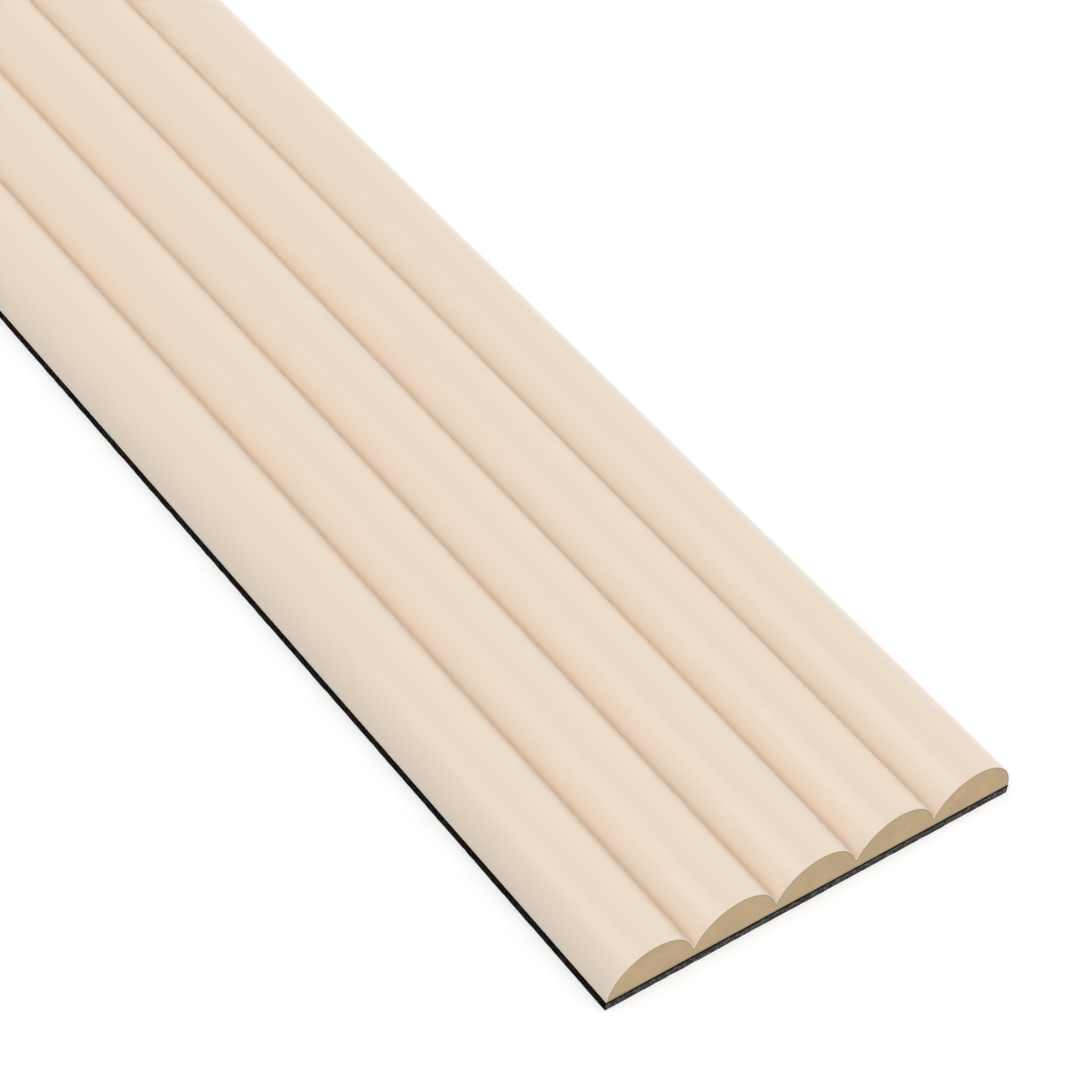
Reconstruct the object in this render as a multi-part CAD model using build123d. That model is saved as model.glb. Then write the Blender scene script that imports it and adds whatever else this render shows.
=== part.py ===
from build123d import *

import os
from math import sqrt

# Fluted wall panel: a fibreboard moulding with half-round flutes along its
# length, glued flat on a sheet of felt. Millimetres.
# It lies on its back. X runs across the flutes, Y along them and Z up.
# The origin is on the floor, under the middle of the panel.

# Driving dimensions
panel_width = 122.0
panel_length = 2650.0     # one stock length
board_thickness = 12.0    # back of the board to the crest of a flute
felt_thickness = 2.8      # 3 mm felt, pressed a little by the glue
flute_count = 5
flute_pitch = 24.25       # crest to crest
flute_radius = 12.6       # over half the pitch, so that neighbouring flutes cut into each other
valley_radius = 0.15      # the coating rounds the bottom of each valley

# Worked out from them
half_width = panel_width / 2
board_back = felt_thickness
crest_height = board_back + board_thickness
flute_axis_height = crest_height - flute_radius
same_level = 0.001


def flute_height(from_crest):
    """Height of a flute's surface at a distance across from its crest."""
    return flute_axis_height + sqrt(flute_radius**2 - from_crest**2)


valley_height = flute_height(flute_pitch / 2)
outer_foot = half_width - (flute_count - 1) / 2 * flute_pitch
land_height = flute_height(outer_foot)


def flute_arc(flute):
    """One half-round flute, from valley to valley. The outer two run down to a long edge."""
    crest = (flute - (flute_count - 1) / 2) * flute_pitch
    left = (crest - flute_pitch / 2, valley_height)
    right = (crest + flute_pitch / 2, valley_height)
    if flute == 0:
        left = (-half_width, land_height)
    if flute == flute_count - 1:
        right = (half_width, land_height)
    return ThreePointArc(left, (crest, crest_height), right)


def fluted_outline():
    """The board's section: flutes in a row, a low square land at each long edge, a flat back."""
    with BuildSketch(Plane.XZ) as section:
        with BuildLine():
            for flute in range(flute_count):
                flute_arc(flute)
            Polyline(
                (half_width, land_height),
                (half_width, board_back),
                (-half_width, board_back),
                (-half_width, land_height),
            )
        make_face()
        corners = section.vertices()
        valleys = corners.filter_by(lambda corner: abs(corner.Y - valley_height) < same_level)
        fillet(valleys, valley_radius)
    return section.sketch


def fluted_board():
    """The board, moulded from end to end and cut square."""
    return extrude(fluted_outline(), panel_length / 2, both=True)


def felt_backing():
    """The sheet of felt, trimmed flush with the board all round."""
    return Box(
        panel_width,
        panel_length,
        felt_thickness,
        align=(Align.CENTER, Align.CENTER, Align.MIN),
    )


os.makedirs("parts", exist_ok=True)
pieces = {"fluted_board": fluted_board(), "felt_backing": felt_backing()}
for name, piece in pieces.items():
    piece.label = name
    export_step(piece, f"parts/{name}.step")
    size = piece.bounding_box().size
    print(f"{name}: {piece.volume / 1000:.1f} cm3, {size.X:.1f} x {size.Y:.1f} x {size.Z:.1f} mm")
print(f"valleys {valley_height - board_back:.2f} mm above the board's back")
print(f"edge lands {land_height - board_back:.2f} mm high")
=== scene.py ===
import math
import random
import bpy
import bmesh
from mathutils import Matrix, Vector, noise


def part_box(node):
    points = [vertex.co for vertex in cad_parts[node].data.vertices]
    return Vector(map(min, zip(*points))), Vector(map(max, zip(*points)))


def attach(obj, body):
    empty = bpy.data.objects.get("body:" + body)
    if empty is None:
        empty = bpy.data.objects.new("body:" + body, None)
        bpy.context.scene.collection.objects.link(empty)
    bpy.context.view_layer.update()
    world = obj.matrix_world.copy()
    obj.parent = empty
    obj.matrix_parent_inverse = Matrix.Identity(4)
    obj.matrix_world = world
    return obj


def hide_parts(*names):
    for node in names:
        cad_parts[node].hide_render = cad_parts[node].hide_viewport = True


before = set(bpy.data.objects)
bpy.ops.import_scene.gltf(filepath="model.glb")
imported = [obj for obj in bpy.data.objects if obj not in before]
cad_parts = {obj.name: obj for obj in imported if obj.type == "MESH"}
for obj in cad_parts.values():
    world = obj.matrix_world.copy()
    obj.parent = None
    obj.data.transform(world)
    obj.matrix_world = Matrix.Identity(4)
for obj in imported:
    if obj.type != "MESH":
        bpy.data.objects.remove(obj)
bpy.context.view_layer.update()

# Fluted wall panel lying on its felt, flutes up. Metres, in the model's own frame:
# X across the flutes, Y along them, Z up. The photograph's cut end is the one at -Y.

mm = 0.001
boardLow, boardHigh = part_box("fluted_board")
feltLow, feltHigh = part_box("felt_backing")
panelLength = boardHigh.y - boardLow.y


# node helpers

def newMaterial(name):
    mat = bpy.data.materials.new(name)
    mat.use_nodes = True
    nodes = mat.node_tree.nodes
    return mat, nodes, mat.node_tree.links, nodes["Principled BSDF"]


def addNoise(nodes, links, vector, size, detail, roughness=0.5, distortion=0.0):
    tex = nodes.new("ShaderNodeTexNoise")
    tex.inputs["Scale"].default_value = 1 / size
    tex.inputs["Detail"].default_value = detail
    tex.inputs["Roughness"].default_value = roughness
    tex.inputs["Distortion"].default_value = distortion
    links.new(vector, tex.inputs["Vector"])
    return tex.outputs["Fac"]


def addRange(nodes, links, value, fromLow, fromHigh, toLow, toHigh):
    ranger = nodes.new("ShaderNodeMapRange")
    ranger.inputs["From Min"].default_value = fromLow
    ranger.inputs["From Max"].default_value = fromHigh
    ranger.inputs["To Min"].default_value = toLow
    ranger.inputs["To Max"].default_value = toHigh
    links.new(value, ranger.inputs["Value"])
    return ranger.outputs["Result"]


def addFade(nodes, links, value, fade, strength):
    # nothing where the value is at the fade's first number, full strength at its second
    return addRange(nodes, links, value, *fade, 0.0, strength)


def addMath(nodes, links, operation, *values):
    step = nodes.new("ShaderNodeMath")
    step.operation = operation
    for socket, value in zip(step.inputs, values):
        if isinstance(value, float):
            socket.default_value = value
        else:
            links.new(value, socket)
    return step.outputs["Value"]


def addMix(nodes, links, factor, colourA, colourB):
    mixer = nodes.new("ShaderNodeMix")
    mixer.data_type = "RGBA"
    links.new(factor, mixer.inputs["Factor"])
    for socket, colour in ((mixer.inputs["A"], colourA), (mixer.inputs["B"], colourB)):
        if isinstance(colour, tuple):
            socket.default_value = (*colour, 1.0)
        else:
            links.new(colour, socket)
    return mixer.outputs["Result"]


def addBump(nodes, links, height, depth, before=None):
    bump = nodes.new("ShaderNodeBump")
    bump.inputs["Strength"].default_value = 1.0
    bump.inputs["Distance"].default_value = depth
    links.new(height, bump.inputs["Height"])
    if before is not None:
        links.new(before, bump.inputs["Normal"])
    return bump.outputs["Normal"]


def addGlow(nodes, links, mirrored, seen, elsewhere=0.0):
    # strength of a glow: in the gloss, to the camera, and as light on the panel
    path = nodes.new("ShaderNodeLightPath")
    inGloss = addRange(nodes, links, path.outputs["Is Glossy Ray"], 0.0, 1.0, elsewhere, mirrored)
    toCamera = addRange(nodes, links, path.outputs["Is Camera Ray"], 0.0, 1.0, 0.0, seen)
    return addMath(nodes, links, "MAXIMUM", inGloss, toCamera)


def objectPlace(nodes, links, stretch=(1.0, 1.0, 1.0)):
    place = nodes.new("ShaderNodeTexCoord").outputs["Object"]
    if stretch == (1.0, 1.0, 1.0):
        return place
    mapping = nodes.new("ShaderNodeMapping")
    mapping.inputs["Scale"].default_value = stretch
    links.new(place, mapping.inputs["Vector"])
    return mapping.outputs["Vector"]


# finishes

creamCoat = dict(
    colour=(0.864, 0.737, 0.610),
    colourShift=(0.859, 0.732, 0.605),   # faint uneven tone of a sprayed coat
    toneSize=9.0 * mm,
    roughness=(0.23, 0.27),
    patchSize=5.0 * mm,                  # patches of the duller and the glossier
    patchFade=(0.3, 0.7),
    peelSize=1.8 * mm,                   # orange peel
    peelDepth=0.004 * mm,
    grainSize=0.22 * mm,                 # fibre showing through the coat
    grainDepth=0.001 * mm,
    ior=1.5,
)

sawnCoat = dict(                         # the coat where the saw went through it, without gloss
    dark=(0.74, 0.62, 0.50),
    pale=(0.86, 0.76, 0.65),
    grainSize=0.15 * mm,
    roughness=0.7,
)

rawBoard = dict(
    colour=(0.638, 0.468, 0.276),
    fleckPale=(0.700, 0.540, 0.360),
    fleckDark=(0.430, 0.300, 0.170),
    skin=(0.450, 0.350, 0.225),          # denser, darker fibre close under the coat
    fleckSize=0.28 * mm,
    paleFade=(0.52, 0.72),               # fleck noise where the pale flecks begin, and where they are full
    paleStrength=0.55,
    darkFade=(0.48, 0.30),
    darkStrength=0.60,
    mottleSize=6.0 * mm,
    mottleFade=(0.35, 0.65),
    mottleStrength=0.34,
    reliefDepth=0.05 * mm,
    roughness=0.85,
    gloss=0.25,
)

blackFelt = dict(
    dark=(0.0018, 0.0014, 0.0012),
    fleck=(0.190, 0.168, 0.158),
    fleckStrength=0.8,
    cutDark=(0.047, 0.043, 0.040),
    cutFleck=(0.860, 0.770, 0.725),      # fibres opened by the saw look grey
    cutFleckStrength=0.9,
    # colour of the near-black band along the felt's top, right under the board
    glued=(0.0060, 0.0036, 0.0020),
    fibreSize=0.30 * mm,
    fibreRuns=((0.45, 1.3, 1.8), (1.3, 0.45, 1.8)),    # stretches: some lie across, some along
    fibreFade=(0.55, 0.68),
    tangle=1.4,                          # bends the fibres round each other
    clumpSize=1.1 * mm,
    clumpStretch=(1.0, 1.0, 1.8),
    clumpFade=(0.44, 0.60),
    reliefDepth=0.10 * mm,
    topBandDepth=0.62 * mm,                  # near-black band along the felt's top, right under the board
    topBandClimb=1.2 * mm,                  # it climbs unevenly between the fibres
    topBandBlur=0.1 * mm,
    meanFibre=0.55,                      # usual value of the fibre noise
    roughness=0.95,
    gloss=0.03,
)


def makeCoatMaterial():
    mat, nodes, links, bsdf = newMaterial("creamCoat")
    place = objectPlace(nodes, links)
    tone = addNoise(nodes, links, place, creamCoat["toneSize"], detail=4.0, roughness=0.6)
    colour = addMix(nodes, links, tone, creamCoat["colour"], creamCoat["colourShift"])
    links.new(colour, bsdf.inputs["Base Color"])
    patch = addNoise(nodes, links, place, creamCoat["patchSize"], detail=3.0)
    dullness = addRange(nodes, links, patch, *creamCoat["patchFade"], *creamCoat["roughness"])
    links.new(dullness, bsdf.inputs["Roughness"])
    peel = addNoise(nodes, links, place, creamCoat["peelSize"], detail=1.0)
    grain = addNoise(nodes, links, place, creamCoat["grainSize"], detail=2.0)
    normal = addBump(nodes, links, peel, creamCoat["peelDepth"])
    normal = addBump(nodes, links, grain, creamCoat["grainDepth"], normal)
    links.new(normal, bsdf.inputs["Normal"])
    bsdf.inputs["IOR"].default_value = creamCoat["ior"]
    return mat


def makeCoatSectionMaterial():
    mat, nodes, links, bsdf = newMaterial("coatSection")
    grain = addNoise(nodes, links, objectPlace(nodes, links), sawnCoat["grainSize"], detail=2.0)
    colour = addMix(nodes, links, grain, sawnCoat["dark"], sawnCoat["pale"])
    links.new(colour, bsdf.inputs["Base Color"])
    bsdf.inputs["Roughness"].default_value = sawnCoat["roughness"]
    return mat


def makeRawMaterial(name, ground):
    mat, nodes, links, bsdf = newMaterial(name)
    place = objectPlace(nodes, links)
    fleck = addNoise(nodes, links, place, rawBoard["fleckSize"], detail=4.0, roughness=0.65)
    mottle = addNoise(nodes, links, place, rawBoard["mottleSize"], detail=3.0)
    pale = addFade(nodes, links, fleck, rawBoard["paleFade"], rawBoard["paleStrength"])
    dark = addFade(nodes, links, fleck, rawBoard["darkFade"], rawBoard["darkStrength"])
    shade = addFade(nodes, links, mottle, rawBoard["mottleFade"], rawBoard["mottleStrength"])
    colour = addMix(nodes, links, pale, ground, rawBoard["fleckPale"])
    colour = addMix(nodes, links, dark, colour, rawBoard["fleckDark"])
    colour = addMix(nodes, links, shade, colour, rawBoard["skin"])
    links.new(colour, bsdf.inputs["Base Color"])
    links.new(addBump(nodes, links, fleck, rawBoard["reliefDepth"]), bsdf.inputs["Normal"])
    bsdf.inputs["Roughness"].default_value = rawBoard["roughness"]
    bsdf.inputs["Specular IOR Level"].default_value = rawBoard["gloss"]
    return mat


def addStrands(nodes, links):
    # fibres lying across and fibres lying along, matted together
    runs = []
    for stretch in blackFelt["fibreRuns"]:
        lying = objectPlace(nodes, links, stretch)
        runs.append(addNoise(nodes, links, lying, blackFelt["fibreSize"], detail=4.0, roughness=0.65,
                             distortion=blackFelt["tangle"]))
    return addMath(nodes, links, "MAXIMUM", *runs)


# the felt turns near-black in a band along its top, right under the board, its lower edge wandering with
# the fibres
def addTopBandShare(nodes, links, fibre):
    height = nodes.new("ShaderNodeSeparateXYZ")
    links.new(objectPlace(nodes, links), height.inputs["Vector"])
    climb = blackFelt["topBandClimb"]
    reached = addMath(nodes, links, "MULTIPLY_ADD", fibre, -climb, height.outputs["Z"])
    line = feltHigh.z - blackFelt["topBandDepth"] - blackFelt["meanFibre"] * climb
    blur = blackFelt["topBandBlur"]
    return addRange(nodes, links, reached, line - blur, line + blur, 0.0, 1.0)


def makeFeltMaterial(name, dark, fleck, strength):
    # short matted fibres lying flat, in paler and darker clumps
    mat, nodes, links, bsdf = newMaterial(name)
    fibre = addStrands(nodes, links)
    flat = objectPlace(nodes, links, blackFelt["clumpStretch"])
    clump = addNoise(nodes, links, flat, blackFelt["clumpSize"], detail=2.0, roughness=0.6)
    lit = addFade(nodes, links, fibre, blackFelt["fibreFade"], strength)
    uneven = addFade(nodes, links, clump, blackFelt["clumpFade"], 1.0)
    fleckShare = addMath(nodes, links, "MULTIPLY", lit, uneven)
    colour = addMix(nodes, links, fleckShare, dark, fleck)
    colour = addMix(nodes, links, addTopBandShare(nodes, links, fibre), colour, blackFelt["glued"])
    links.new(colour, bsdf.inputs["Base Color"])
    links.new(addBump(nodes, links, fibre, blackFelt["reliefDepth"]), bsdf.inputs["Normal"])
    bsdf.inputs["Roughness"].default_value = blackFelt["roughness"]
    bsdf.inputs["Specular IOR Level"].default_value = blackFelt["gloss"]
    return mat


finishes = dict(
    coat=makeCoatMaterial(),
    coatSection=makeCoatSectionMaterial(),
    skin=makeRawMaterial("rawSkin", rawBoard["skin"]),
    raw=makeRawMaterial("rawBoard", rawBoard["colour"]),
    feltEdge=makeFeltMaterial("feltEdge", blackFelt["dark"], blackFelt["fleck"],
                              blackFelt["fleckStrength"]),
    feltCut=makeFeltMaterial("feltCut", blackFelt["cutDark"], blackFelt["cutFleck"],
                             blackFelt["cutFleckStrength"]),
)
print("finishes made:", ", ".join(finishes))


# mesh helpers

closeness = dict(
    samePoint=0.001 * mm,      # points nearer than this are merged
    sliver=0.002 * mm,         # nothing finer than this is cut or kept
    onBorder=0.01 * mm,        # a point this near to a border is on it
    facing=0.9,                # how squarely a face has to look along an axis
)


def addObject(name, data):
    thing = bpy.data.objects.new(name, data)
    bpy.context.scene.collection.objects.link(thing)
    return thing


def lengthwiseEdges(bm):
    # the edges that run from one end of the panel to the other
    return [e for e in bm.edges if abs(e.verts[0].co.y - e.verts[1].co.y) > panelLength / 2]


def endFaces(bm, outward):
    return [f for f in bm.faces if f.normal.y * outward > closeness["facing"]]


def cutFaces(bm, faces, point, across, dist=0.0):
    edges = list({e for f in faces for e in f.edges})
    verts = list({v for f in faces for v in f.verts})
    bmesh.ops.bisect_plane(bm, geom=faces + edges + verts, dist=dist, plane_co=point, plane_no=across)


def finishPiece(name, bm, materials, nodeName, sharpAngle):
    for edge in bm.edges:
        edge.smooth = len(edge.link_faces) == 2 and edge.calc_face_angle(0) < math.radians(sharpAngle)
    for face in bm.faces:
        face.smooth = True
    mesh = bpy.data.meshes.new(name)
    bm.to_mesh(mesh)
    bm.free()
    for mat in materials:
        mesh.materials.append(mat)
    piece = addObject(name, mesh)
    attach(piece, "root")
    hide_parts(nodeName)
    print(name, len(mesh.polygons), "faces")


# the board

board = dict(
    flutes=5,
    pitch=24.25 * mm,          # crest to crest
    radius=12.6 * mm,
    arcSteps=48,               # facets round one flute
    valleyRound=1.2 * mm,      # how far up each flank the coat rounds a valley
    valleySteps=6,
    arris=0.05 * mm,           # sharp sawn edge, barely broken
    coatThickness=0.16 * mm,
    backBand=0.4 * mm,         # the back is bare: below this there is no line of coat
    skinDepth=0.38 * mm,
    cell=1.0 * mm,             # grid of the sawn face
    bladeCentre=(-90 * mm, 0.0, 160 * mm),    # middle of the blade's arcs
    sawMark=0.025 * mm,        # shallow arcs left by the blade
    sawPitch=2.2 * mm,
    tear=0.03 * mm,            # fibres pulled out of the sawn face
    tearSize=1.4 * mm,
    crossCuts=90,
    sharpAngle=28,             # degrees: an edge that turns more stays crisp
)
coatSlot, sectionSlot, skinSlot, rawSlot = range(4)


def spinFlute(bm, flute, endY):
    middle = (board["flutes"] - 1) / 2
    crestX = (flute - middle) * board["pitch"]
    left, right = -board["pitch"] / 2, board["pitch"] / 2
    if flute == 0:
        left = boardLow.x - crestX
    if flute == board["flutes"] - 1:
        right = boardHigh.x - crestX
    axisZ = boardHigh.z - board["radius"]
    footZ = axisZ + math.sqrt(board["radius"] ** 2 - left ** 2)
    sweep = math.asin(right / board["radius"]) - math.asin(left / board["radius"])
    foot = bmesh.ops.create_vert(bm, co=(crestX + left, endY, footZ))["vert"]
    bmesh.ops.spin(bm, geom=foot, cent=(crestX, endY, axisZ), axis=(0, 1, 0), dvec=(0, 0, 0),
                   angle=sweep, space=Matrix.Identity(4), steps=board["arcSteps"], use_duplicate=False)


def makeSection(bm, endY):
    for flute in range(board["flutes"]):
        spinFlute(bm, flute, endY)
    bmesh.ops.remove_doubles(bm, verts=bm.verts[:], dist=closeness["samePoint"])
    feet = [min(bm.verts, key=lambda v: v.co.x), max(bm.verts, key=lambda v: v.co.x)]
    landed = bmesh.ops.extrude_vert_indiv(bm, verts=feet)["verts"]
    for vert in landed:
        vert.co.z = boardLow.z
    bmesh.ops.contextual_create(bm, geom=landed)
    return bmesh.ops.edgeloop_fill(bm, edges=bm.edges[:])["faces"][0]


def roundValleys(bm):
    half = board["flutes"] / 2
    valleys = [(index - half) * board["pitch"] for index in range(1, board["flutes"])]
    chosen = [e for e in lengthwiseEdges(bm)
              if min(abs(e.verts[0].co.x - x) for x in valleys) < closeness["onBorder"]]
    bmesh.ops.bevel(bm, geom=chosen, offset=board["valleyRound"], offset_type="OFFSET",
                    segments=board["valleySteps"], profile=0.5, affect="EDGES", material=-1,
                    clamp_overlap=True)
    print("valleys rounded:", len(chosen))


def ringOf(bm, face, width, depth=0.0):
    # insets one end face and returns the ring of faces round it
    return bmesh.ops.inset_region(bm, faces=[face], thickness=width, depth=depth,
                                  use_boundary=True, use_even_offset=True)["faces"]


def finishEnd(bm, face, outward):
    for f in ringOf(bm, face, board["arris"], board["arris"]):
        f.material_index = coatSlot
    for f in ringOf(bm, face, board["coatThickness"]):
        onBack = all(v.co.z < boardLow.z + board["backBand"] for v in f.verts)
        f.material_index = skinSlot if onBack else sectionSlot
    for f in ringOf(bm, face, board["skinDepth"]):
        f.material_index = skinSlot
    face.material_index = rawSlot
    cutSawnFace(bm, outward, Vector((1, 0, 0)), boardLow.x, boardHigh.x)
    cutSawnFace(bm, outward, Vector((0, 0, 1)), boardLow.z, boardHigh.z)
    roughenSawnFace(bm, outward)


def sawnFaces(bm, outward):
    return [f for f in endFaces(bm, outward) if f.material_index == rawSlot]


def cutSawnFace(bm, outward, across, low, high):
    place = low + board["cell"]
    while place < high:
        cutFaces(bm, sawnFaces(bm, outward), across * place, across, closeness["sliver"])
        place += board["cell"]


def roughenSawnFace(bm, outward):
    inner = {v for f in sawnFaces(bm, outward) for v in f.verts
             if all(g.material_index == rawSlot for g in v.link_faces)}
    bladeCentre = Vector(board["bladeCentre"])
    for vert in inner:
        reach = (vert.co - bladeCentre).xz.length
        mark = 0.5 + 0.5 * math.sin(reach / board["sawPitch"] * math.tau)
        torn = max(0.0, noise.noise(vert.co / board["tearSize"]))
        vert.co.y -= outward * (mark * board["sawMark"] + torn * board["tear"])


def makeBoard():
    bm = bmesh.new()
    section = makeSection(bm, boardLow.y + board["arris"])
    moved = bmesh.ops.extrude_face_region(bm, geom=[section])["geom"]
    farVerts = [g for g in moved if isinstance(g, bmesh.types.BMVert)]
    bmesh.ops.translate(bm, verts=farVerts, vec=(0, panelLength - 2 * board["arris"], 0))
    bmesh.ops.recalc_face_normals(bm, faces=bm.faces[:])
    roundValleys(bm)
    bm.normal_update()
    for f in bm.faces:
        f.material_index = rawSlot if f.normal.z < -closeness["facing"] else coatSlot
    for outward in (-1, 1):
        end = max(bm.faces, key=lambda f: f.normal.y * outward * f.calc_area())
        finishEnd(bm, end, outward)
    bmesh.ops.subdivide_edges(bm, edges=lengthwiseEdges(bm), cuts=board["crossCuts"], use_grid_fill=True)
    bmesh.ops.dissolve_degenerate(bm, dist=closeness["sliver"], edges=bm.edges[:])
    materials = [finishes[key] for key in ("coat", "coatSection", "skin", "raw")]
    finishPiece("fluted_board_coated", bm, materials, "fluted_board",
                board["sharpAngle"])


makeBoard()


# the felt

felt = dict(
    stepAlong=1.6 * mm,
    stepAcross=1.6 * mm,
    rowHeight=0.7 * mm,
    ragged=0.09 * mm,       # how far the cut edge wanders in and out
    lump=2.2 * mm,          # size of its lumps
    tuft=0.9 * mm,          # size of the finer tufts on them
    tuftShift=(7, 3, 1),    # keeps the tufts apart from the lumps
    proud=0.04 * mm,        # soft fibres stand a little past the board
    softEdge=0.02 * mm,     # rounding of the lower arris
    sharpAngle=50,
)
edgeSlot, cutSlot = range(2)


def levels(low, high, step):
    count = max(1, round((high - low) / step))
    return [low + (high - low) * index / count for index in range(1, count)]


def raggedEdge(vert):
    # moves a point of the sheet's edge in or out by a lumpy amount
    lump = noise.noise(vert.co / felt["lump"])
    fine = noise.noise(vert.co / felt["tuft"] + Vector(felt["tuftShift"]))
    pull = felt["ragged"] * (lump + fine) - felt["proud"]
    near = closeness["onBorder"]
    if vert.co.z < feltLow.z + near:
        pull += felt["softEdge"]
    onSide = min(vert.co.x - feltLow.x, feltHigh.x - vert.co.x) < near
    onEnd = min(vert.co.y - feltLow.y, feltHigh.y - vert.co.y) < near
    if onSide:
        vert.co.x -= pull * math.copysign(1.0, vert.co.x)
    if onEnd:
        vert.co.y -= pull * math.copysign(1.0, vert.co.y)


def makeFelt():
    bm = bmesh.new()
    size = feltHigh - feltLow
    middle = (feltHigh + feltLow) / 2
    bmesh.ops.create_cube(bm, size=1.0, matrix=Matrix.Translation(middle) @ Matrix.Diagonal((*size, 1.0)))
    steps = int(size.y / felt["stepAlong"])
    bmesh.ops.subdivide_edges(bm, edges=lengthwiseEdges(bm), cuts=steps, use_grid_fill=True)
    for z in levels(feltLow.z, feltHigh.z, felt["rowHeight"]):
        cutFaces(bm, bm.faces[:], (0, 0, z), (0, 0, 1))
    bm.normal_update()
    for outward in (-1, 1):
        for x in levels(feltLow.x, feltHigh.x, felt["stepAcross"]):
            cutFaces(bm, endFaces(bm, outward), (x, 0, 0), (1, 0, 0))
    bm.normal_update()
    for f in bm.faces:
        f.material_index = cutSlot if abs(f.normal.y) > closeness["facing"] else edgeSlot
    for vert in bm.verts:
        raggedEdge(vert)
    materials = [finishes["feltEdge"], finishes["feltCut"]]
    finishPiece("felt_backing_sheet", bm, materials, "felt_backing", felt["sharpAngle"])


makeFelt()

fuzz = dict(
    fibres=6500,
    length=(0.5 * mm, 2.2 * mm),
    thickness=0.022 * mm,     # radius of one fibre
    taper=0.5,                # share of it that is gone at the lifted end
    standOff=0.34 * mm,       # how far a loose fibre lifts off the edge
    lift=(0.15, 1.0),         # share of that for one fibre
    arch=(0.5, 1.0),          # how far round its arch a point sits
    climb=0.35,               # steepest rise or fall, as a share of the length
    parts=3,                  # straight parts of one fibre
    rooted=0.12 * mm,         # how deep its ends sit in the felt
    rootMargin=(0.10 * mm, 0.15 * mm),    # no root nearer to the felt's bottom and top
    margin=(0.05 * mm, 0.10 * mm),        # and no part of a fibre nearer than this
    endShare=0.10,            # part of them on the two cut ends
    reachAcross=0.99,         # keeps them off the corners
    reachAlong=0.999,
    weld=0.0003 * mm,
    seed=11,
)


def looseFibre(curve, rng, start, along, outward):
    # one short bent hair lying along the edge, one end lifted
    length = rng.uniform(*fuzz["length"])
    lift = rng.uniform(*fuzz["lift"]) * fuzz["standOff"]
    climb = rng.uniform(-fuzz["climb"], fuzz["climb"]) * length
    lowest, highest = feltLow.z + fuzz["margin"][0], feltHigh.z - fuzz["margin"][1]
    spline = curve.splines.new("POLY")
    spline.points.add(fuzz["parts"])
    for index, point in enumerate(spline.points):
        share = index / fuzz["parts"]
        rise = math.sin(share * math.pi * rng.uniform(*fuzz["arch"]))
        place = start + along * (share - 0.5) * length + outward * (lift * rise - fuzz["rooted"])
        place.z += climb * share
        place.z = min(max(place.z, lowest), highest)
        point.co = (*place, 1.0)
        point.radius = 1.0 - fuzz["taper"] * share


def drawFibres(curve):
    rng = random.Random(fuzz["seed"])
    lowest, highest = feltLow.z + fuzz["rootMargin"][0], feltHigh.z - fuzz["rootMargin"][1]
    towardsX, towardsY = Vector((1, 0, 0)), Vector((0, 1, 0))
    for index in range(fuzz["fibres"]):
        side = rng.choice((-1, 1))
        z = rng.uniform(lowest, highest)
        if rng.random() < fuzz["endShare"]:
            x = rng.uniform(feltLow.x, feltHigh.x) * fuzz["reachAcross"]
            looseFibre(curve, rng, Vector((x, side * feltHigh.y, z)), towardsX, side * towardsY)
        else:
            y = rng.uniform(feltLow.y, feltHigh.y) * fuzz["reachAlong"]
            looseFibre(curve, rng, Vector((side * feltHigh.x, y, z)), towardsY, side * towardsX)


def closeFibres(mesh):
    # joins each fibre's end caps to it
    bm = bmesh.new()
    bm.from_mesh(mesh)
    bmesh.ops.remove_doubles(bm, verts=bm.verts[:], dist=fuzz["weld"])
    bmesh.ops.recalc_face_normals(bm, faces=bm.faces[:])
    bm.to_mesh(mesh)
    bm.free()


def makeFuzz():
    curve = bpy.data.curves.new("fuzzLines", "CURVE")
    curve.dimensions = "3D"
    curve.bevel_depth = fuzz["thickness"]
    curve.bevel_resolution = 0
    curve.use_fill_caps = True
    drawFibres(curve)
    lines = addObject("fuzzLines", curve)
    graph = bpy.context.evaluated_depsgraph_get()
    mesh = bpy.data.meshes.new_from_object(lines.evaluated_get(graph))
    bpy.data.objects.remove(lines)
    bpy.data.curves.remove(curve)
    closeFibres(mesh)
    mesh.name = "felt_fuzz"
    mesh.materials.clear()
    mesh.materials.append(finishes["feltEdge"])
    piece = addObject("felt_fuzz", mesh)
    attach(piece, "root")
    print("felt_fuzz", len(mesh.polygons), "faces")


makeFuzz()


# floor, light and camera

studio = dict(
    floorSize=14.0,
    floorColour=(0.65, 0.65, 0.65),
    floorRoughness=0.9,
    seenGlow=0.42,            # lifts the floor to white where the camera sees it
    mirroredGlow=0.42,        # and where the gloss of the coat mirrors it
    skyStrength=0.18,
    seenSky=1.0,              # plain white
    mirroredSky=0.84,
    lamps=dict(               # where each soft lamp stands, its strength, and its width in degrees
        front=((0.0, -0.707, 0.707), 1.80, 105.0),
        left=((-0.5, 0.0, 0.866), 1.11, 60.0),
        lowRight=((0.983, 0.05, 0.184), 0.94, 11.0),
    ),
)
white = (1.0, 1.0, 1.0, 1.0)


def makeFloor():
    bm = bmesh.new()
    bmesh.ops.create_grid(bm, x_segments=1, y_segments=1, size=studio["floorSize"] / 2)
    mesh = bpy.data.meshes.new("floor")
    bm.to_mesh(mesh)
    bm.free()
    mat, nodes, links, bsdf = newMaterial("paleFloor")
    bsdf.inputs["Base Color"].default_value = (*studio["floorColour"], 1.0)
    bsdf.inputs["Roughness"].default_value = studio["floorRoughness"]
    bsdf.inputs["Specular IOR Level"].default_value = 0.0
    bsdf.inputs["Emission Color"].default_value = white
    glow = addGlow(nodes, links, studio["mirroredGlow"], studio["seenGlow"])
    links.new(glow, bsdf.inputs["Emission Strength"])
    mesh.materials.append(mat)
    floor = addObject("floor", mesh)


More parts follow.
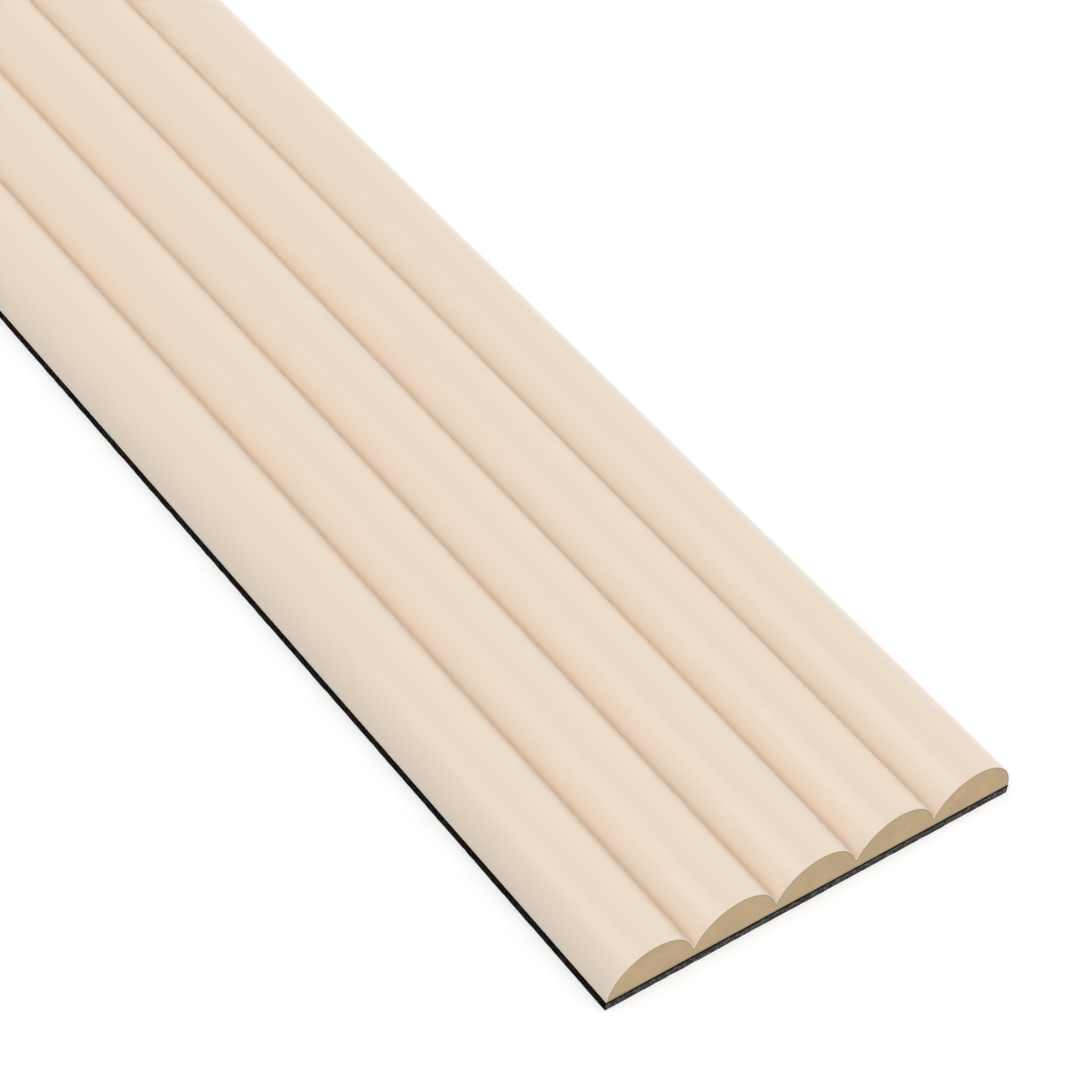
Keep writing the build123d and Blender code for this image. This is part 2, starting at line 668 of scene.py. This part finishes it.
def makeLight():
    world = bpy.data.worlds.new("studioSky")
    bpy.context.scene.world = world
    world.use_nodes = True
    nodes, links = world.node_tree.nodes, world.node_tree.links
    sky = nodes["Background"]
    sky.inputs["Color"].default_value = white
    glow = addGlow(nodes, links, studio["mirroredSky"], studio["seenSky"], studio["skyStrength"])
    links.new(glow, sky.inputs["Strength"])
    for name, (standsAt, strength, width) in studio["lamps"].items():
        sun = bpy.data.lights.new(name + "Lamp", "SUN")
        sun.energy = strength
        sun.angle = math.radians(width)
        lamp = addObject(name + "Lamp", sun)
        lamp.rotation_euler = Vector(standsAt).to_track_quat("Z", "Y").to_euler()


# camera found from the photograph: angles in degrees, and the point that it looks at, across and
# along from the middle of the cut end, on the board's back
view = dict(
    azimuth=-41.7849,
    elevation=44.9922,
    roll=7.7597,
    distance=850.33 * mm,
    lookAcross=12.4731 * mm,
    lookAlong=125.2446 * mm,
    focalPixels=3351.80,
    pictureWidth=1080,
    sensorWidth=36.0,
    nearest=0.05,
    farthest=50.0,
)


def makeCamera():
    azimuth, elevation = math.radians(view["azimuth"]), math.radians(view["elevation"])
    back = Vector((math.sin(azimuth) * math.cos(elevation), -math.cos(azimuth) * math.cos(elevation),
                   math.sin(elevation)))
    level = Vector((0, 0, 1)).cross(back).normalized()
    turned = Matrix.Rotation(math.radians(view["roll"]), 3, back)
    right = turned @ level
    up = back.cross(right)
    target = Vector((view["lookAcross"], boardLow.y + view["lookAlong"], boardLow.z))
    place = target + back * view["distance"]
    cameraData = bpy.data.cameras.new("camera")
    cameraData.sensor_width = view["sensorWidth"]
    cameraData.lens = view["focalPixels"] / view["pictureWidth"] * cameraData.sensor_width
    cameraData.clip_start = view["nearest"]
    cameraData.clip_end = view["farthest"]
    camera = addObject("camera", cameraData)
    axes = Matrix((right, up, back)).transposed().to_4x4()
    camera.matrix_world = Matrix.Translation(place) @ axes
    bpy.context.scene.camera = camera


makeFloor()
makeLight()
makeCamera()
bpy.context.scene.view_settings.view_transform = "Standard"
print("floor, light and camera placed")
